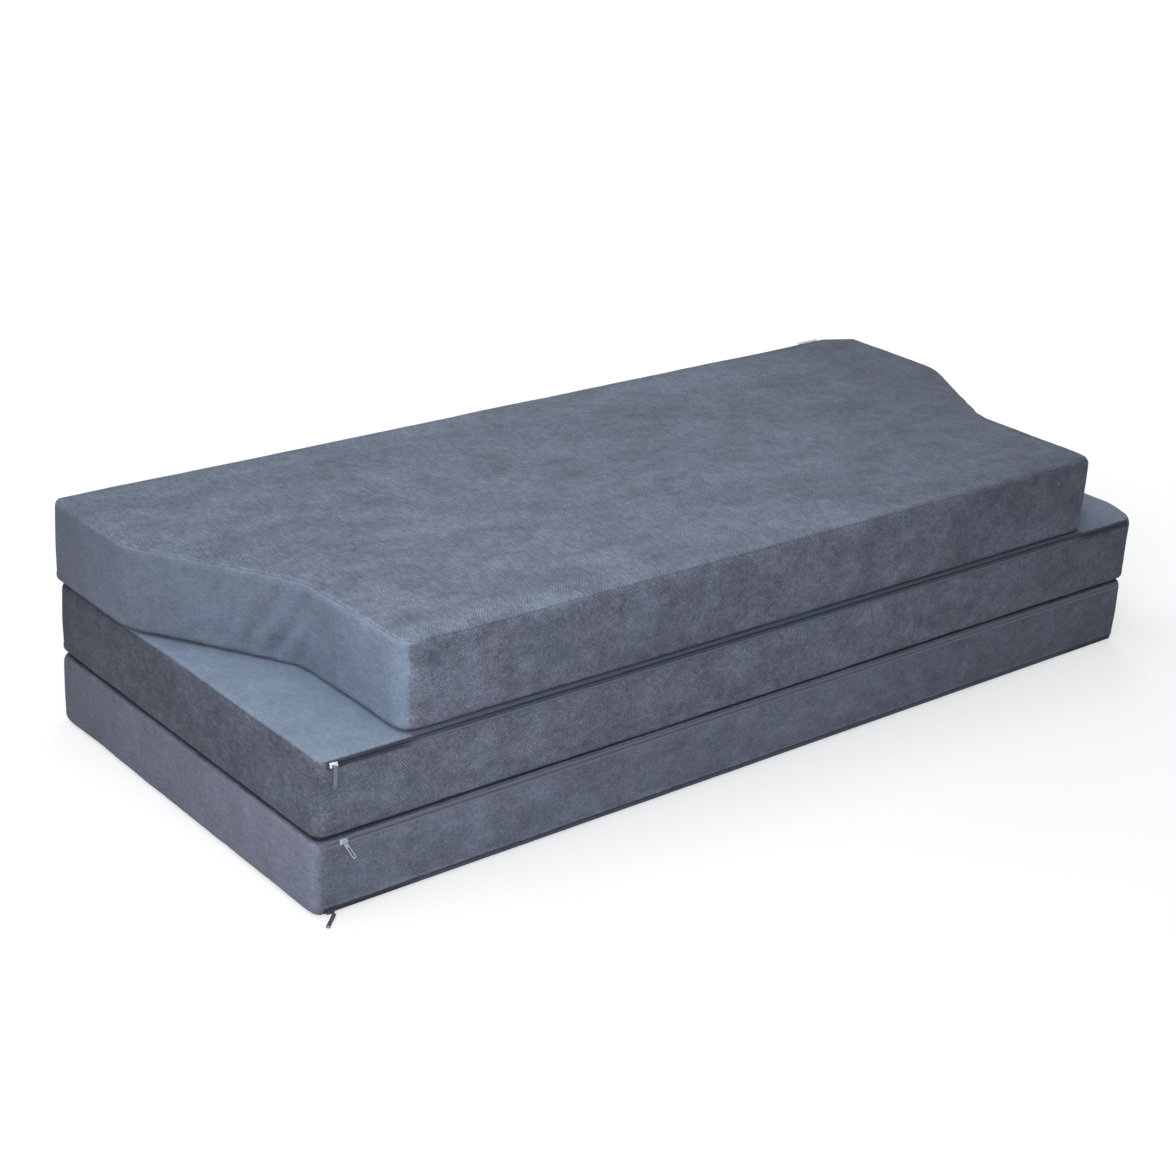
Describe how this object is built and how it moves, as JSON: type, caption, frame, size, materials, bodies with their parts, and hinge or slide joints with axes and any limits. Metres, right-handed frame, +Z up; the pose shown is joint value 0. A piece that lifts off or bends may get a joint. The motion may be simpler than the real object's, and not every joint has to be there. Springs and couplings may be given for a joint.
{
  "type": "folding mattress",
  "caption": "Foam mattress in fabric covers with zips that folds in a Z into a stack, with a top section cut narrower at one end.",
  "frame": {"origin": "middle of the base section's flat underside, where the folded stack rests", "axes": "+X along the sections' long side, +Y from the zipped front to the back, +Z up"},
  "size_m": [1.515, 0.6614, 0.3306],
  "materials": {
    "cover_fabric": "matte",
    "underside_fabric": "matte",
    "foam": "matte",
    "zip_tape": "matte",
    "zip_coil": "satin",
    "slider_metal": "polished",
    "pull_metal": "satin",
    "stop_metal": "satin",
    "label_cloth": "matte"
  },
  "bodies": {
    "base_section": {"base_foam": "foam", "base_top_panel": "cover_fabric", "base_border": "cover_fabric", "base_bottom_panel": "underside_fabric", "base_upper_zip_tape_upper": "zip_tape", "base_upper_zip_tape_lower": "zip_tape", "base_upper_zip_coil_upper": "zip_coil", "base_upper_zip_coil_lower": "zip_coil", "base_upper_zip_stop_left": "stop_metal", "base_upper_zip_stop_right": "stop_metal", "base_lower_zip_tape_upper": "zip_tape", "base_lower_zip_tape_lower": "zip_tape", "base_lower_zip_coil_upper": "zip_coil", "base_lower_zip_coil_lower": "zip_coil", "base_lower_zip_stop_left": "stop_metal", "base_lower_zip_stop_right": "stop_metal", "back_hinge_lower_leaf": "underside_fabric"},
    "middle_section": {"middle_foam": "foam", "middle_top_panel": "cover_fabric", "middle_border": "cover_fabric", "middle_bottom_panel": "underside_fabric", "middle_zip_tape_upper": "zip_tape", "middle_zip_tape_lower": "zip_tape", "middle_zip_coil_upper": "zip_coil", "middle_zip_coil_lower": "zip_coil", "middle_zip_stop_left": "stop_metal", "middle_zip_stop_right": "stop_metal", "back_hinge_upper_leaf": "underside_fabric", "front_hinge_lower_leaf": "underside_fabric"},
    "top_section": {"top_foam": "foam", "top_top_panel": "cover_fabric", "top_border": "cover_fabric", "top_bottom_panel": "underside_fabric", "top_zip_tape_upper": "zip_tape", "top_zip_tape_lower": "zip_tape", "top_zip_coil_upper": "zip_coil", "top_zip_coil_lower": "zip_coil", "top_zip_stop_left": "stop_metal", "top_zip_stop_right": "stop_metal", "front_hinge_upper_leaf": "underside_fabric", "care_label": "label_cloth"},
    "middle_zip_slider": {"middle_zip_slider": "slider_metal"},
    "middle_zip_pull": {"middle_zip_pull": "pull_metal"},
    "base_upper_zip_slider": {"base_upper_zip_slider": "slider_metal"},
    "base_upper_zip_pull": {"base_upper_zip_pull": "pull_metal"},
    "base_lower_zip_slider": {"base_lower_zip_slider": "slider_metal"},
    "base_lower_zip_pull": {"base_lower_zip_pull": "pull_metal"},
    "top_zip_slider": {"top_zip_slider": "slider_metal"},
    "top_zip_pull": {"top_zip_pull": "pull_metal"}
  },
  "joints": [
    {"name": "back_fold", "type": "hinge", "parent": "base_section", "child": "middle_section", "pos_m": [0, 0.3195, 0.10515], "axis": [-1, 0, 0], "range_deg": [0, 180]},
    {"name": "front_fold", "type": "hinge", "parent": "middle_section", "child": "top_section", "pos_m": [0, -0.3195, 0.21045], "axis": [1, 0, 0], "range_deg": [0, 180]},
    {"name": "middle_zip_slide", "type": "slide", "parent": "middle_section", "child": "middle_zip_slider", "axis": [1, 0, 0], "range_m": [0, 1.4564]},
    {"name": "middle_zip_pull_swing", "type": "hinge", "parent": "middle_zip_slider", "child": "middle_zip_pull", "pos_m": [-0.7282, -0.31935, 0.2023], "axis": [1, 0, 0], "range_deg": [-60, 0]},
    {"name": "base_upper_zip_slide", "type": "slide", "parent": "base_section", "child": "base_upper_zip_slider", "axis": [1, 0, 0], "range_m": [0, 1.4404]},
    {"name": "base_upper_zip_pull_swing", "type": "hinge", "parent": "base_upper_zip_slider", "child": "base_upper_zip_pull", "pos_m": [-0.7122, -0.31935, 0.097], "axis": [1, 0, 0], "range_deg": [-60, 0]},
    {"name": "base_lower_zip_slide", "type": "slide", "parent": "base_section", "child": "base_lower_zip_slider", "axis": [1, 0, 0], "range_m": [0, 1.4564]},
    {"name": "base_lower_zip_pull_swing", "type": "hinge", "parent": "base_lower_zip_slider", "child": "base_lower_zip_pull", "pos_m": [-0.7282, -0.31935, 0.005], "axis": [1, 0, 0], "range_deg": [-75, 0]},
    {"name": "top_zip_slide", "type": "slide", "parent": "top_section", "child": "top_zip_slider", "axis": [-1, 0, 0], "range_m": [0, 1.4564]},
    {"name": "top_zip_pull_swing", "type": "hinge", "parent": "top_zip_slider", "child": "top_zip_pull", "pos_m": [0.7282, 0.31935, 0.2156], "axis": [-1, 0, 0], "range_deg": [-60, 0]}
  ]
}
